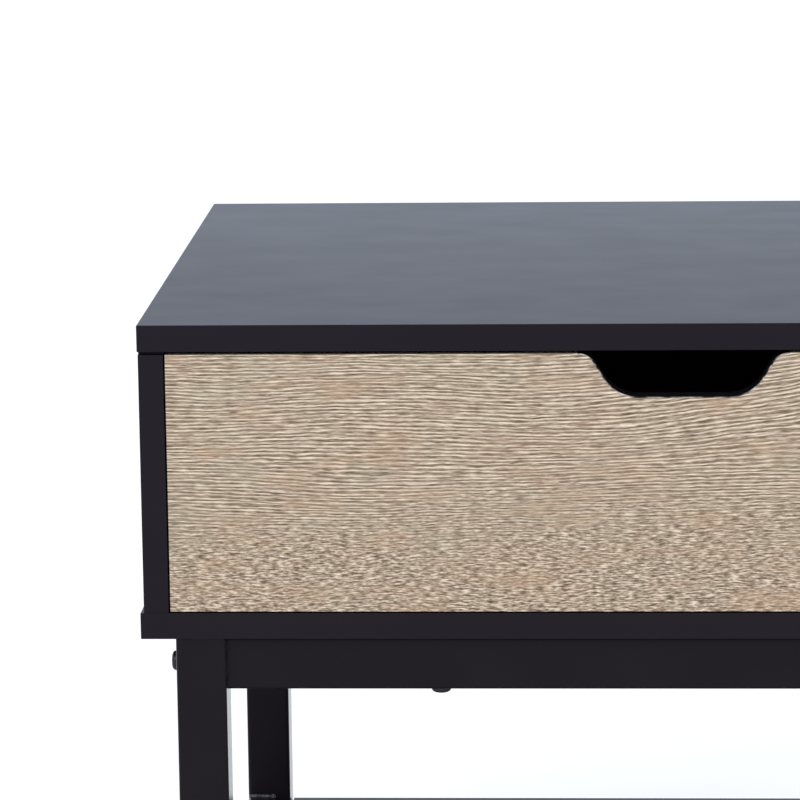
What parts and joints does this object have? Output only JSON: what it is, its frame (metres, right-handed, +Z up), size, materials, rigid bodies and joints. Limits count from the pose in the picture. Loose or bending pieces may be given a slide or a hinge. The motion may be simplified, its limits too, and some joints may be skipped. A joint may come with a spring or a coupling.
{
  "type": "side table with drawer",
  "caption": "Low rectangular side table: a flat black case with one oak-faced drawer, opened by a finger cut-out, on a square steel tube frame with a low shelf.",
  "frame": {"origin": "on the floor, under the centre of the table", "axes": "+Z up, -Y towards the front where the drawer opens, +X to the right seen from the front"},
  "size_m": [0.6462, 0.5, 0.55],
  "materials": {
    "black_laminate": "black melamine-faced board with a fine, slightly bluish satin texture",
    "oak_decor": "light sawn-oak decor, matte, fine horizontal grain",
    "black_edging": "matte black edge band",
    "black_powder_coat": "fine satin black powder coat",
    "black_plastic": "matte black moulded plastic",
    "hardboard": "black-faced hardboard, matte",
    "runner_steel": "black epoxy-coated sheet steel",
    "roller_plastic": "off-white nylon",
    "black_screw_steel": "black-coated steel",
    "zinc_steel": "zinc-plated steel",
    "zinc_alloy": "dull die-cast zinc",
    "insert_brass": "turned brass",
    "dowel_beech": "plain beech, fluted"
  },
  "bodies": {
    "table": {"back_panel": "black_laminate", "board_inserts": "insert_brass", "bottom_panel": "black_laminate", "cabinet_roller_axles": "zinc_steel", "cabinet_runner_screws": "zinc_steel", "case_cam_bolts": "zinc_steel", "case_cam_locks": "zinc_alloy", "case_dowels": "dowel_beech", "case_rail_screws": "black_screw_steel", "case_screws": "zinc_steel", "frame_bolts": "black_screw_steel", "front_left_foot": "black_plastic", "front_left_leg": "black_powder_coat", "front_left_leg_plug": "black_plastic", "front_lower_rail": "black_powder_coat", "front_right_foot": "black_plastic", "front_right_leg": "black_powder_coat", "front_right_leg_plug": "black_plastic", "front_upper_rail": "black_powder_coat", "left_cabinet_runner": "runner_steel", "left_lower_side_rail": "black_powder_coat", "left_side_panel": "black_laminate", "left_upper_side_rail": "black_powder_coat", "lower_rail_nuts": "zinc_steel", "rear_left_foot": "black_plastic", "rear_left_leg": "black_powder_coat", "rear_left_leg_plug": "black_plastic", "rear_lower_rail": "black_powder_coat", "rear_right_foot": "black_plastic", "rear_right_leg": "black_powder_coat", "rear_right_leg_plug": "black_plastic", "rear_upper_rail": "black_powder_coat", "right_cabinet_runner": "runner_steel", "right_lower_side_rail": "black_powder_coat", "right_side_panel": "black_laminate", "right_upper_side_rail": "black_powder_coat", "shelf": "black_laminate", "shelf_rail_screws": "black_screw_steel", "top_panel": "black_laminate", "upper_rail_nuts": "zinc_steel"},
    "drawer": {"drawer_front": "oak_decor", "cutout_edging": "black_edging", "left_drawer_side": "black_laminate", "right_drawer_side": "black_laminate", "drawer_back": "black_laminate", "drawer_bottom": "hardboard", "left_drawer_runner": "runner_steel", "right_drawer_runner": "runner_steel", "drawer_roller_axles": "zinc_steel", "drawer_runner_screws": "zinc_steel", "drawer_cam_bolts": "zinc_steel", "drawer_cam_locks": "zinc_alloy", "drawer_corner_screws": "zinc_steel", "drawer_bottom_screws": "zinc_steel"},
    "left_cabinet_roller_body": {"left_cabinet_roller": "roller_plastic"},
    "right_cabinet_roller_body": {"right_cabinet_roller": "roller_plastic"},
    "left_drawer_roller_body": {"left_drawer_roller": "roller_plastic"},
    "right_drawer_roller_body": {"right_drawer_roller": "roller_plastic"}
  },
  "joints": [
    {"name": "drawer_slide", "type": "slide", "parent": "table", "child": "drawer", "axis": [0, -1, 0], "range_m": [0, 0.3]},
    {"name": "left_cabinet_roller_spin", "type": "hinge", "parent": "table", "child": "left_cabinet_roller_body", "pos_m": [-0.2999, -0.2202, 0.392], "axis": [1, 0, 0], "continuous": true},
    {"name": "right_cabinet_roller_spin", "type": "hinge", "parent": "table", "child": "right_cabinet_roller_body", "pos_m": [0.2999, -0.2202, 0.392], "axis": [1, 0, 0], "continuous": true},
    {"name": "left_drawer_roller_spin", "type": "hinge", "parent": "drawer", "child": "left_drawer_roller_body", "pos_m": [-0.2999, 0.1558, 0.39], "axis": [1, 0, 0], "continuous": true},
    {"name": "right_drawer_roller_spin", "type": "hinge", "parent": "drawer", "child": "right_drawer_roller_body", "pos_m": [0.2999, 0.1558, 0.39], "axis": [1, 0, 0], "continuous": true}
  ],
  "couplings": [
    {"joint": "left_cabinet_roller_spin", "follows": "drawer_slide", "rad_per_m": 117.65},
    {"joint": "right_cabinet_roller_spin", "follows": "drawer_slide", "rad_per_m": 117.65},
    {"joint": "left_drawer_roller_spin", "follows": "drawer_slide", "rad_per_m": 117.65},
    {"joint": "right_drawer_roller_spin", "follows": "drawer_slide", "rad_per_m": 117.65}
  ]
}
